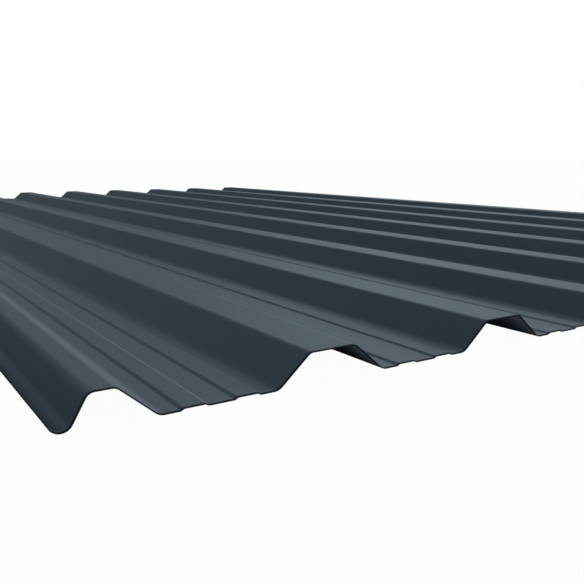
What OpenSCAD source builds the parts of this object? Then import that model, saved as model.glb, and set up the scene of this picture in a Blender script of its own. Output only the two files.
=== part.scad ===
// Trapezoidal roofing and cladding sheet, roll-formed from one strip of painted steel.
// X runs across the ribs, Y along them and Z up. The pans lie on Z = 0, and the
// origin is under the middle of the sheet.

/* [Sheet] */
// Length along the ribs
sheet_l = 2000; // [300:10:6000]
// Thickness of the coated steel
steel_t = 0.7; // [0.35:0.05:1.2]
// Number of rib pitches in the cover width
pitch_count = 8; // [2:1:12]

/* [Main ribs] */
// Distance from one rib to the next
pitch = 137.5; // [120:0.5:250]
// Rise from a pan to a crown
rib_h = 17.7; // [12:0.1:45]
// Width of a crown between its bend lines
crown_w = 30.3; // [24:0.1:60]
// Sideways run of a sloping web
web_run = 20.3; // [12:0.1:30]
// Radius of the bends beside a crown
crown_bend_r = 5.6; // [1:0.1:8]
// Radius of the bends beside a pan
pan_bend_r = 7.5; // [1:0.1:10]

/* [Pan swages] */
// Rise of a stiffening swage above its pan
swage_h = 1; // [0.4:0.1:2]
// Flat width on top of a swage
swage_top_w = 11.3; // [6:0.1:16]
// Sideways run of a swage's flank
swage_flank = 2; // [1.5:0.1:5]
// Flat between two swages
swage_gap = 14.4; // [8:0.1:24]
// Least flat between the end of a pan's bend and a swage
swage_inset = 4; // [3:0.5:12]
// Radius of the bends of a swage
swage_bend_r = 1.6; // [0.8:0.1:4]

/* [Underlap edge] */
// Width of the narrow crown that the next sheet covers
edge_crown_w = 12.9; // [9:0.1:16]
// Radius of the bend between the narrow crown and the drain groove
edge_bend_r = 5.3; // [1:0.1:6]
// Slope of the web that drops into the drain groove
groove_web_angle = 60; // [50:1:75]
// Radius of the drain groove
groove_r = 5.8; // [3:0.1:7]
// Gap between the drain groove and the surface under the pans
groove_rise = 1.2; // [0.2:0.1:4]
// Slope of the lip at the free edge
lip_angle = 41; // [20:1:70]
// Straight stretch of the lip, past the groove's round
lip_flat = 1.1; // [0.2:0.1:4]

/* [Overlap edge] */
// Gap between the cut foot of the last web and the pan's level
lap_rise = 0.5; // [0:0.1:3]

/* [Hidden] */

bend_step = 8;  // degrees of turn for each facet of a bend
paint = "#39434a";

// Heights of the sheet's middle line
pan_z = steel_t / 2;
crown_z = pan_z + rib_h;
swage_z = pan_z + swage_h;

// Pan between its two bend lines, and the swages that it has room for beside its bends
pan_w = pitch - crown_w - 2 * web_run;
pan_bend_run = pan_bend_r * tan(atan2(rib_h, web_run) / 2);
swage_w = swage_top_w + 2 * swage_flank;
swage_step = swage_w + swage_gap;
swage_room = pan_w - 2 * (pan_bend_run + swage_inset);
swage_count = max(0, floor((swage_room + swage_gap) / swage_step));
first_swage_x = (pan_w - swage_count * swage_w - (swage_count - 1) * swage_gap) / 2;

// Drain groove: its round touches the web that comes down from the narrow crown
edge_crown_x = crown_w - edge_crown_w;
groove_z = pan_z + groove_rise + groove_r;
groove_reach = groove_r + (crown_z - groove_z) * cos(groove_web_angle);
groove_x = edge_crown_x - groove_reach / sin(groove_web_angle);
groove_turn = groove_web_angle + lip_angle;
groove_bisector = 270 + (groove_web_angle - lip_angle) / 2;
lip_run = groove_r * tan(groove_turn / 2) + lip_flat;

function unit(angle) = [cos(angle), sin(angle)];
function normal(angle) = [-sin(angle), cos(angle)];
function heading(from, to) = atan2(to[1] - from[1], to[0] - from[0]);
function point(corner) = [corner[0], corner[1]];
function reversed(list) = [for (i = [len(list) - 1:-1:0]) list[i]];

// Corners of the section's middle line as [x, z, bend radius], from left to right.
// X is 0 at the left bend line of the first rib's full crown.

function groove_corner() =
    concat([groove_x, groove_z] + groove_r / cos(groove_turn / 2) * unit(groove_bisector), groove_r);

function underlap_corners() =
    let (groove = groove_corner())
    [
        concat(point(groove) - lip_run * unit(-lip_angle), 0),
        groove,
        [edge_crown_x, crown_z, edge_bend_r],
        [crown_w, crown_z, crown_bend_r]
    ];

function swage_corners(x) =
    [
        [x, pan_z, swage_bend_r],
        [x + swage_flank, swage_z, swage_bend_r],
        [x + swage_flank + swage_top_w, swage_z, swage_bend_r],
        [x + swage_w, pan_z, swage_bend_r]
    ];

// One pitch: from the foot of a web, over the pan and its swages, up to the next full crown
function pitch_corners(x) =
    concat(
        [[x + crown_w + web_run, pan_z, pan_bend_r]],
        [
            for (i = [0:1:swage_count - 1])
                each swage_corners(x + crown_w + web_run + first_swage_x + i * swage_step)
        ],
        [
            [x + pitch - web_run, pan_z, pan_bend_r],
            [x + pitch, crown_z, crown_bend_r],
            [x + pitch + crown_w, crown_z, crown_bend_r]
        ]
    );

function overlap_corner(x) =
    [x + crown_w + web_run * (1 - lap_rise / rib_h), pan_z + lap_rise, 0];

function section_corners() =
    concat(
        underlap_corners(),
        [for (i = [0:1:pitch_count - 1]) each pitch_corners(i * pitch)],
        [overlap_corner(pitch_count * pitch)]
    );

// Arc of a bend at corner b, between a and c, on the face that lies side above the middle line
function bend_arc(a, b, c, side) =
    let (
        heading_in = heading(a, b),
        turn = heading(b, c) - heading_in,
        start = point(b) - b[2] * tan(abs(turn) / 2) * unit(heading_in),
        centre = start + sign(turn) * b[2] * normal(heading_in),
        steps = max(1, ceil(abs(turn) / bend_step))
    )
    [
        for (i = [0:steps])
            centre + (side - sign(turn) * b[2]) * normal(heading_in + turn * i / steps)
    ];

// One face of the steel, as points from the left edge to the right edge
function face_line(corners, side) =
    let (last = len(corners) - 1)
    concat(
        [point(corners[0]) + side * normal(heading(corners[0], corners[1]))],
        [for (i = [1:last - 1]) each bend_arc(corners[i - 1], corners[i], corners[i + 1], side)],
        [point(corners[last]) + side * normal(heading(corners[last - 1], corners[last]))]
    );

function section_outline(corners) =
    concat(face_line(corners, steel_t / 2), reversed(face_line(corners, -steel_t / 2)));

module corrugated_sheet() {
    outline = section_outline(section_corners());
    across = [for (p = outline) p[0]];
    middle_x = (min(across) + max(across)) / 2;
    color(paint)
        rotate([90, 0, 0])
            linear_extrude(height = sheet_l, center = true)
                polygon([for (p = outline) p - [middle_x, 0]]);
}

corrugated_sheet();
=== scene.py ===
import math

import bpy
import numpy as np
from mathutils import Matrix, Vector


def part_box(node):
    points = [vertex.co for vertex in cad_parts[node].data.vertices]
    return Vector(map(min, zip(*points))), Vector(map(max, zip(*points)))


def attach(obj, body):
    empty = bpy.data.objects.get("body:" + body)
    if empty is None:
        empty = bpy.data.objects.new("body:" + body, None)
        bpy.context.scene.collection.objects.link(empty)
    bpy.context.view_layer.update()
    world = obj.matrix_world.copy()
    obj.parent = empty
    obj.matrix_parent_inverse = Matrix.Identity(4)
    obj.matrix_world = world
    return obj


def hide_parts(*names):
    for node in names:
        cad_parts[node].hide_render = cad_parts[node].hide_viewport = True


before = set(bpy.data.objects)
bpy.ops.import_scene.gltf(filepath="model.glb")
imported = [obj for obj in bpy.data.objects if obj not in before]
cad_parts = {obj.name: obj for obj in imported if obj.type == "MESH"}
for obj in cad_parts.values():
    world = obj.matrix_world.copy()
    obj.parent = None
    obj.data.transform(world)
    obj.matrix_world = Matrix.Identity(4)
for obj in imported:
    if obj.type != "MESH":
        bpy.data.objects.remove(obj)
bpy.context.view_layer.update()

mm = 0.001  # in metres
scene = bpy.context.scene
scene.view_settings.view_transform = "Standard"


def colour(red, green, blue):
    # sRGB parts out of 255, turned into linear light
    parts = np.array([red, green, blue]) / 255
    linear = np.where(parts > 0.04045, ((parts + 0.055) / 1.055) ** 2.4, parts / 12.92)
    return (*linear.tolist(), 1.0)


# Camera, where the photo was taken from: low, in front of the underlap corner
photoCamera = {
    "place": (-0.6445, -1.3107, 0.1215),
    "turn": 33.957,  # degrees from +Y towards +X
    "tilt": 10.637,  # degrees below the horizon
    "sensor": 36,  # mm wide
    "lens": 44.003,  # mm
    "shift": -0.0384,  # the photo's frame sits left of the lens axis
    "nearest": 0.01,  # metres
}
cameraData = bpy.data.cameras.new("photoCamera")
cameraData.sensor_width = photoCamera["sensor"]
cameraData.lens = photoCamera["lens"]
cameraData.shift_x = photoCamera["shift"]
cameraData.clip_start = photoCamera["nearest"]
camera = bpy.data.objects.new("photoCamera", cameraData)
camera.location = photoCamera["place"]
camera.rotation_euler = (math.radians(90 - photoCamera["tilt"]), 0, -math.radians(photoCamera["turn"]))
scene.collection.objects.link(camera)
scene.camera = camera
print("camera set")


# Sheet, one strip of steel rolled into ribs; lengths in mm, angles in degrees
sheet = {
    "node": "corrugated_sheet",
    "thickness": 0.7,
    "pitches": 8,
    "pitch": 137.5,
    "ribHeight": 17.7,
    "crownWidth": 30.3,
    "webRun": 20.3,
    "crownBend": 5.6,
    "panBend": 7.5,
    "swages": 2,
    "swageHeight": 1,
    "swageTop": 11.3,
    "swageFlank": 2,
    "swageGap": 14.4,
    "swageBend": 1.6,
    "edgeCrown": 12.9,
    "edgeBend": 5.3,
    "grooveWebAngle": 60,
    "grooveRadius": 5.8,
    "grooveRise": 1.2,
    "lipAngle": 41,
    "lipFlat": 1.1,
    "lapRise": 0.5,
    "bendSteps": 10,  # facets in each bend
    "bendLead": 0.25,  # flat kept straight beside each bend
    "shearRound": 0.06,  # corner that the shears round off at a cut
    # the rim takes the cuts' dark colour on both faces: painted shade that widens the dark line at each end
    "paintedShadeRim": 1.2,  # dark along the two sheared ends, a guess at the photo's bold cut line
    "sharpAngle": 30,  # edges that turn more than this aren't shaded smooth
}
panLevel = sheet["thickness"] / 2
crownLevel = panLevel + sheet["ribHeight"]


def direction(angle):  # unit vectors along the headings
    return np.stack([np.cos(angle), np.sin(angle)], axis=-1)


def upward(angle):  # the same, a quarter turn to the left
    return np.stack([-np.sin(angle), np.cos(angle)], axis=-1)


def underlapCorners():
    # Lip, drain groove and narrow crown as rows of x, z and bend radius. The groove is a circle that touches
    # the web coming down from the crown and the lip, so its corner lies on the bisector of the two slopes.
    webAngle = math.radians(sheet["grooveWebAngle"])
    lipAngle = math.radians(sheet["lipAngle"])
    radius = sheet["grooveRadius"]
    crownX = sheet["crownWidth"] - sheet["edgeCrown"]
    centreZ = panLevel + sheet["grooveRise"] + radius
    centreX = crownX - (radius + (crownLevel - centreZ) * math.cos(webAngle)) / math.sin(webAngle)
    halfTurn = (webAngle + lipAngle) / 2
    bisector = math.radians(270) + (webAngle - lipAngle) / 2
    corner = np.array([centreX, centreZ]) + radius / math.cos(halfTurn) * direction(bisector)
    lip = corner - (radius * math.tan(halfTurn) + sheet["lipFlat"]) * direction(-lipAngle)
    return np.array([
        [*lip, 0],
        [*corner, radius],
        [crownX, crownLevel, sheet["edgeBend"]],
        [sheet["crownWidth"], crownLevel, sheet["crownBend"]],
    ])


def pitchCorners():
    # Every pitch at once: the foot of a web, the pan's swages as flat-topped steps, the next web and crown.
    # One swage's corners are repeated across the pan, and one pitch's corners across the sheet.
    flank = sheet["swageFlank"]
    top = sheet["swageTop"]
    swageWidth = top + 2 * flank
    panStart = sheet["crownWidth"] + sheet["webRun"]
    panEnd = sheet["pitch"] - sheet["webRun"]
    spare = panEnd - panStart - sheet["swages"] * swageWidth - (sheet["swages"] - 1) * sheet["swageGap"]
    swageX = panStart + spare / 2 + np.arange(sheet["swages"]) * (swageWidth + sheet["swageGap"])
    rise = panLevel + sheet["swageHeight"]
    swage = np.array([[0, panLevel], [flank, rise], [flank + top, rise], [swageWidth, panLevel]])
    swage = np.column_stack([swage, np.full(len(swage), sheet["swageBend"])])
    swages = (swage + swageX[:, None, None] * [1, 0, 0]).reshape(-1, 3)
    onePitch = np.vstack([
        [[panStart, panLevel, sheet["panBend"]]],
        swages,
        [[panEnd, panLevel, sheet["panBend"]]],
        [[sheet["pitch"], crownLevel, sheet["crownBend"]]],
        [[sheet["pitch"] + sheet["crownWidth"], crownLevel, sheet["crownBend"]]],
    ])
    starts = np.arange(sheet["pitches"]) * sheet["pitch"]
    return (onePitch + starts[:, None, None] * [1, 0, 0]).reshape(-1, 3)


def overlapCorner():
    # The last web stops short of the pan's level, on the same slope
    share = 1 - sheet["lapRise"] / sheet["ribHeight"]
    x = sheet["pitches"] * sheet["pitch"] + sheet["crownWidth"] + sheet["webRun"] * share
    return np.array([[x, panLevel + sheet["lapRise"], 0]])


def rolledLine(corners):
    # Middle line of the steel: each corner gives way to an arc that touches both of its straight runs. The
    # arc's centre lies a radius off the run that comes in, and its heading turns evenly from run to run. A
    # short lead before and after each arc keeps the flats straight in the shading.
    runs = np.diff(corners[:, :2], axis=0)
    headings = np.arctan2(runs[:, 1], runs[:, 0])
    headingIn, headingOut = headings[:-1], headings[1:]
    turn = headingOut - headingIn
    radius = corners[1:-1, 2]
    side = (np.sign(turn) * radius)[:, None]
    start = corners[1:-1, :2] - (radius * np.tan(abs(turn) / 2))[:, None] * direction(headingIn)
    centre = start + side * upward(headingIn)
    share = np.linspace(0, 1, sheet["bendSteps"] + 1)
    angle = headingIn[:, None] + turn[:, None] * share
    arc = centre[:, None] - side[:, None] * upward(angle)
    lead = sheet["bendLead"]
    before = arc[:, :1] - lead * direction(headingIn)[:, None]
    after = arc[:, -1:] + lead * direction(headingOut)[:, None]
    line = np.concatenate([before, arc, after], axis=1).reshape(-1, 2)
    angle = np.concatenate([angle[:, :1], angle, angle[:, -1:]], axis=1).reshape(-1)
    line = np.vstack([corners[:1, :2], line, corners[-1:, :2]])
    angle = np.concatenate([headings[:1], angle, headings[-1:]])
    return line, angle


def sectionLoop(line, angle, halfThickness, trim):
    # Closed outline of the steel round its middle line: the upper face from left to right, the right cut,
    # the lower face back again and the left cut. The faces stop a rounded corner short of the cuts.
    corner = sheet["shearRound"]
    ends = np.zeros((len(line), 1))
    ends[0], ends[-1] = 1, -1
    along = direction(angle) * ends
    faceLine = line + (trim + corner) * along
    cutLine = line + trim * along
    up = upward(angle)
    upper = faceLine + halfThickness * up
    lower = faceLine - halfThickness * up
    upperCut = cutLine + (halfThickness - corner) * up
    lowerCut = cutLine - (halfThickness - corner) * up
    return np.vstack([upper, upperCut[-1:], lowerCut[-1:], lower[::-1], lowerCut[:1], upperCut[:1]])


def sheetPlaces(line, angle):
    # The outline carried along Y, as stations by outline points by x, y and z. At each end stands a smaller
    # outline, then a full one a corner further in, so the shears leave a rounded edge all round, and another
    # where the dark rim, a band of painted shade, stops.
    half = sheet["thickness"] / 2
    corner = sheet["shearRound"]
    full = sectionLoop(line, angle, half, 0) * mm
    small = sectionLoop(line, angle, half - corner, corner) * mm
    low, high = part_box(sheet["node"])
    shiftX = low.x - full[:, 0].min()
    inset = np.array([0, corner, sheet["paintedShadeRim"]]) * mm
    stations = np.concatenate([low.y + inset, high.y - inset[::-1]])
    loops = np.stack([small, full, full, full, full, small])
    x = loops[:, :, 0] + shiftX
    y = np.broadcast_to(stations[:, None], x.shape)
    return np.stack([x, y, loops[:, :, 1]], axis=-1)


def joinedOutlines(stations, count, faceCount):
    # Walls join each outline to the next. An end is closed by a strip that joins each point of the upper
    # face to the one below it, with one more quad at each side for the rounded corners.
    ring = np.arange(count)
    after = np.roll(ring, -1)
    base = (np.arange(stations - 1) * count)[:, None]
    walls = np.stack([base + ring, base + after, base + count + after, base + count + ring], axis=-1)
    upper = np.arange(faceCount)
    lower = 2 * faceCount + 1 - upper  # runs back, past the two points of the right cut
    cap = np.stack([upper[:-1], lower[:-1], lower[1:], upper[1:]], axis=-1)
    rightEnd = [[upper[-1], lower[-1], upper[-1] + 2, upper[-1] + 1]]
    leftEnd = [[lower[0], upper[0], count - 1, count - 2]]
    cap = np.vstack([cap, rightEnd, leftEnd])
    farCap = cap[:, ::-1] + (stations - 1) * count
    return walls, cap, farCap


def coatNumbers(walls, capCount, faceCount):
    # Places in the list of coatings: 0 on the upper face, 1 on the lower face and 2 on the cuts, which are
    # the ends with their rims and the strips between the faces along the two long edges. Coating 2 is darker
    # than bare steel: painted shade on the cuts, and a band of painted shade on the rims
    faceQuads = faceCount - 1
    cutQuads = 3  # a rounded corner, the cut and another rounded corner
    coats = np.zeros(walls.shape[:2], int)
    coats[:, faceQuads + cutQuads:-cutQuads] = 1
    coats[:, faceQuads:faceQuads + cutQuads] = 2
    coats[:, -cutQuads:] = 2
    # the rims are a band of painted shade, in the cuts' dark colour
    coats[[0, 1, -2, -1]] = 2  # rounded corners and rims of the two ends
    return np.concatenate([coats.reshape(-1), np.full(2 * capCount, 2)])


def sheetSurface():
    corners = np.vstack([underlapCorners(), pitchCorners(), overlapCorner()])
    line, angle = rolledLine(corners)
    places = sheetPlaces(line, angle)
    stations, count = places.shape[:2]
    walls, cap, farCap = joinedOutlines(stations, count, len(line))
    quads = np.vstack([walls.reshape(-1, 4), cap, farCap])
    return places.reshape(-1, 3), quads, coatNumbers(walls, len(cap), len(line))


def makeObject(name, points, quads):
    mesh = bpy.data.meshes.new(name)
    mesh.from_pydata(points.tolist(), [], quads.tolist())
    made = bpy.data.objects.new(name, mesh)
    scene.collection.objects.link(made)
    return made


sheetPoints, sheetQuads, sheetCoats = sheetSurface()
rolledSheet = makeObject("rolledSheet", sheetPoints, sheetQuads)
rolledSheet.data.shade_smooth()
rolledSheet.data.set_sharp_from_angle(angle=math.radians(sheet["sharpAngle"]))
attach(rolledSheet, "root")
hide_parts(sheet["node"])
print("sheet:", len(sheetPoints), "points,", len(sheetQuads), "quads")


# Materials
coatings = {
    "faceCoat": {"colour": colour(47, 60, 71), "specular": 0.83, "roughness": 0.61},
    "backingCoat": {"colour": colour(90, 97, 104), "specular": 0.05, "roughness": 0.8},
    # darker than bare steel: painted shade on the sheared ends and the long edges
    "cutSteelPaintedShade": {"colour": colour(22, 27, 30), "specular": 0.05, "roughness": 0.7},
}
# Faint unevenness of the paint: marks in a metre along X, Y and Z, and how far the colour swings
finish = {
    "grain": {"marks": (900, 900, 900), "detail": 2, "shade": 0.03},  # orange peel of the baked paint
    "streak": {"marks": (500, 4, 500), "detail": 3, "shade": 0.005},  # roller marks along the strip
    "cloud": {"marks": (5, 2, 5), "detail": 2, "shade": 0.02},  # broad patches
    "grainDepth": 0.004,  # mm
    "streakGloss": 0.01,  # swing of the roughness
    "noiseSpread": (0.3, 0.7),  # where most of the noise's values lie
}


def nodeTree(owner):
    owner.use_nodes = True
    owner.node_tree.nodes.clear()
    return owner.node_tree.nodes, owner.node_tree.links.new


def noiseAt(nodes, link, place, mark):
    # Noise on the object's own metres
    mapping = nodes.new("ShaderNodeMapping")
    mapping.inputs["Scale"].default_value = mark["marks"]
    noise = nodes.new("ShaderNodeTexNoise")
    noise.inputs["Scale"].default_value = 1
    noise.inputs["Detail"].default_value = mark["detail"]
    link(place.outputs["Object"], mapping.inputs["Vector"])
    link(mapping.outputs["Vector"], noise.inputs["Vector"])
    return noise.outputs["Fac"]


def swinging(nodes, link, noise, middle, swing):
    # The noise's usual spread, stretched to a swing either side of the middle
    span = nodes.new("ShaderNodeMapRange")
    span.inputs["From Min"].default_value, span.inputs["From Max"].default_value = finish["noiseSpread"]
    span.inputs["To Min"].default_value = middle - swing
    span.inputs["To Max"].default_value = middle + swing
    link(noise, span.inputs["Value"])
    return span.outputs["Result"]


def times(nodes, link, first, second):
    product = nodes.new("ShaderNodeMath")
    product.operation = "MULTIPLY"
    link(first, product.inputs[0])
    link(second, product.inputs[1])
    return product.outputs["Value"]


def coated(name, coat):
    material = bpy.data.materials.new(name)
    nodes, link = nodeTree(material)
    place = nodes.new("ShaderNodeTexCoord")
    grain = noiseAt(nodes, link, place, finish["grain"])
    streak = noiseAt(nodes, link, place, finish["streak"])
    cloud = noiseAt(nodes, link, place, finish["cloud"])

    streakShade = swinging(nodes, link, streak, 1, finish["streak"]["shade"])
    cloudShade = swinging(nodes, link, cloud, 1, finish["cloud"]["shade"])
    grainShade = swinging(nodes, link, grain, 1, finish["grain"]["shade"])
    shade = times(nodes, link, times(nodes, link, streakShade, cloudShade), grainShade)
    tint = nodes.new("ShaderNodeVectorMath")
    tint.operation = "SCALE"
    tint.inputs["Vector"].default_value = coat["colour"][:3]
    link(shade, tint.inputs["Scale"])

    peel = nodes.new("ShaderNodeBump")
    peel.inputs["Strength"].default_value = 1
    peel.inputs["Distance"].default_value = finish["grainDepth"] * mm
    link(grain, peel.inputs["Height"])

    shader = nodes.new("ShaderNodeBsdfPrincipled")
    shader.inputs["Specular IOR Level"].default_value = coat["specular"]
    link(tint.outputs["Vector"], shader.inputs["Base Color"])
    gloss = swinging(nodes, link, streak, coat["roughness"], finish["streakGloss"])
    link(gloss, shader.inputs["Roughness"])
    link(peel.outputs["Normal"], shader.inputs["Normal"])
    output = nodes.new("ShaderNodeOutputMaterial")
    link(shader.outputs["BSDF"], output.inputs["Surface"])
    return material


for name, coat in coatings.items():
    rolledSheet.data.materials.append(coated(name, coat))
rolledSheet.data.polygons.foreach_set("material_index", sheetCoats)
print("coats:", ", ".join(coatings))


# Floor, sky and backdrop: white to the camera, with the sheet's shadow on the floor
studio = {
    "floorReach": 30,  # metres from the middle
    "floorDrop": 0.0002,  # keeps the floor just under the pans
    "floorColour": 0.5,  # under the lamps and the sky
    "floorGlow": 0.965,  # share that shows as plain white, the rest takes the shadow
    "skyLight": (0.69, 0.85, 1, 1),
    "skyStrength": (0.25, 1.26),  # at the horizon and overhead
    "backdropTurn": -2.8,  # degrees from +Y towards +X, the middle of the backdrop in reflections
    "backdropTilt": 6.3,  # degrees above the horizon
    "backdropEdge": (0.844, 0.995),  # cosines at which the backdrop starts and is full
    "backdropShine": (0.521, 0.675, 0.743),  # cool, as it shows in reflections
}


def showsWhite(nodes, link):
    # 1 for rays that look at the backdrop: straight from the camera, mirrored or through glass
    path = nodes.new("ShaderNodeLightPath")
    looks = path.outputs["Is Camera Ray"]
    for ray in ("Is Glossy Ray", "Is Transmission Ray"):
        either = nodes.new("ShaderNodeMath")
        either.operation = "MAXIMUM"
        link(looks, either.inputs[0])
        link(path.outputs[ray], either.inputs[1])
        looks = either.outputs["Value"]
    return looks


def backdropSeen(nodes, link):
    # All white from the camera. In reflections the backdrop stands on one side: it fades in with the cosine
    # between the way to the point that the ray meets and the way to the backdrop's middle.
    turn = math.radians(studio["backdropTurn"])
    tilt = math.radians(studio["backdropTilt"])
    look = nodes.new("ShaderNodeTexCoord")
    way = nodes.new("ShaderNodeVectorMath")
    way.operation = "NORMALIZE"
    link(look.outputs["Object"], way.inputs[0])
    towards = nodes.new("ShaderNodeVectorMath")
    towards.operation = "DOT_PRODUCT"
    towards.inputs[1].default_value = (
        math.sin(turn) * math.cos(tilt),
        math.cos(turn) * math.cos(tilt),
        math.sin(tilt),
    )
    link(way.outputs["Vector"], towards.inputs[0])
    screen = nodes.new("ShaderNodeMapRange")
    screen.interpolation_type = "SMOOTHSTEP"
    screen.inputs["From Min"].default_value, screen.inputs["From Max"].default_value = studio["backdropEdge"]
    link(towards.outputs["Value"], screen.inputs["Value"])
    shine = nodes.new("ShaderNodeVectorMath")
    shine.operation = "SCALE"
    shine.inputs["Vector"].default_value = studio["backdropShine"]
    link(screen.outputs["Result"], shine.inputs["Scale"])
    path = nodes.new("ShaderNodeLightPath")
    seen = nodes.new("ShaderNodeVectorMath")
    seen.operation = "MAXIMUM"
    link(path.outputs["Is Camera Ray"], seen.inputs[0])
    link(shine.outputs["Vector"], seen.inputs[1])
    return seen.outputs["Vector"]


def skyRise(nodes, link):
    # The sky's strength rises evenly with the height of a ray's direction, from the horizon to the zenith
    look = nodes.new("ShaderNodeTexCoord")
    height = nodes.new("ShaderNodeSeparateXYZ")
    link(look.outputs["Object"], height.inputs["Vector"])
    rise = nodes.new("ShaderNodeMapRange")
    rise.inputs["To Min"].default_value, rise.inputs["To Max"].default_value = studio["skyStrength"]
    link(height.outputs["Z"], rise.inputs["Value"])
    return rise.outputs["Result"]


def floorPaint():
    material = bpy.data.materials.new("floorPaint")
    nodes, link = nodeTree(material)
    glow = nodes.new("ShaderNodeMath")
    glow.operation = "MULTIPLY"
    glow.inputs[1].default_value = studio["floorGlow"]
    link(showsWhite(nodes, link), glow.inputs[0])
    matt = nodes.new("ShaderNodeBsdfDiffuse")
    matt.inputs["Color"].default_value = (studio["floorColour"],) * 3 + (1,)
    white = nodes.new("ShaderNodeEmission")
    link(backdropSeen(nodes, link), white.inputs["Color"])
    blend = nodes.new("ShaderNodeMixShader")
    link(glow.outputs["Value"], blend.inputs["Fac"])
    link(matt.outputs["BSDF"], blend.inputs[1])
    link(white.outputs["Emission"], blend.inputs[2])
    output = nodes.new("ShaderNodeOutputMaterial")
    link(blend.outputs["Shader"], output.inputs["Surface"])
    return material


def studioWorld():
    world = bpy.data.worlds.new("studio")
    world.cycles.sampling_method = "NONE"  # its light comes along rays alone, which know their kind
    nodes, link = nodeTree(world)
    sky = nodes.new("ShaderNodeBackground")
    sky.inputs["Color"].default_value = studio["skyLight"]
    link(skyRise(nodes, link), sky.inputs["Strength"])
    white = nodes.new("ShaderNodeBackground")
    link(backdropSeen(nodes, link), white.inputs["Color"])
    blend = nodes.new("ShaderNodeMixShader")
    link(showsWhite(nodes, link), blend.inputs["Fac"])
    link(sky.outputs["Background"], blend.inputs[1])
    link(white.outputs["Background"], blend.inputs[2])
    output = nodes.new("ShaderNodeOutputWorld")
    link(blend.outputs["Shader"], output.inputs["Surface"])
    return world


floorCorners = np.array([[-1, -1], [1, -1], [1, 1], [-1, 1]]) * studio["floorReach"]
floorPoints = np.column_stack([floorCorners, np.full(len(floorCorners), -studio["floorDrop"])])
floor = makeObject("floor", floorPoints, np.array([[0, 1, 2, 3]]))
floor.data.materials.append(floorPaint())
scene.world = studioWorld()
print("studio made")


# Lamps, round and wide, aimed at the middle of the sheet; places and sizes in metres
softboxes = {
    "keyBox": {  # lights the flats and the webs that face right
        "place": (8.26, -3.09, 4.72),
        "size": 4.84,
        "watts": 1000,
        "colour": (1, 0.94, 0.86),
    },
    "fillBox": {  # skims the flats from behind, on the right
        "place": (6.49, 6.29, 4.28),
        "size": 6.75,
        "watts": 175,
        "colour": (0.701, 0.909, 1),
    },
}
for name, box in softboxes.items():
    lamp = bpy.data.lights.new(name, "AREA")
    lamp.shape = "DISK"
    lamp.size = box["size"]
    lamp.energy = box["watts"]
    lamp.color = box["colour"]
    light = bpy.data.objects.new(name, lamp)
    light.location = box["place"]
    x, y, z = box["place"]  # tipped and turned until it faces the middle
    light.rotation_euler = (math.atan2(math.hypot(x, y), z), 0, math.atan2(-y, -x) - math.pi / 2)
    light.visible_camera = False
    scene.collection.objects.link(light)
print("lamps:", ", ".join(softboxes))
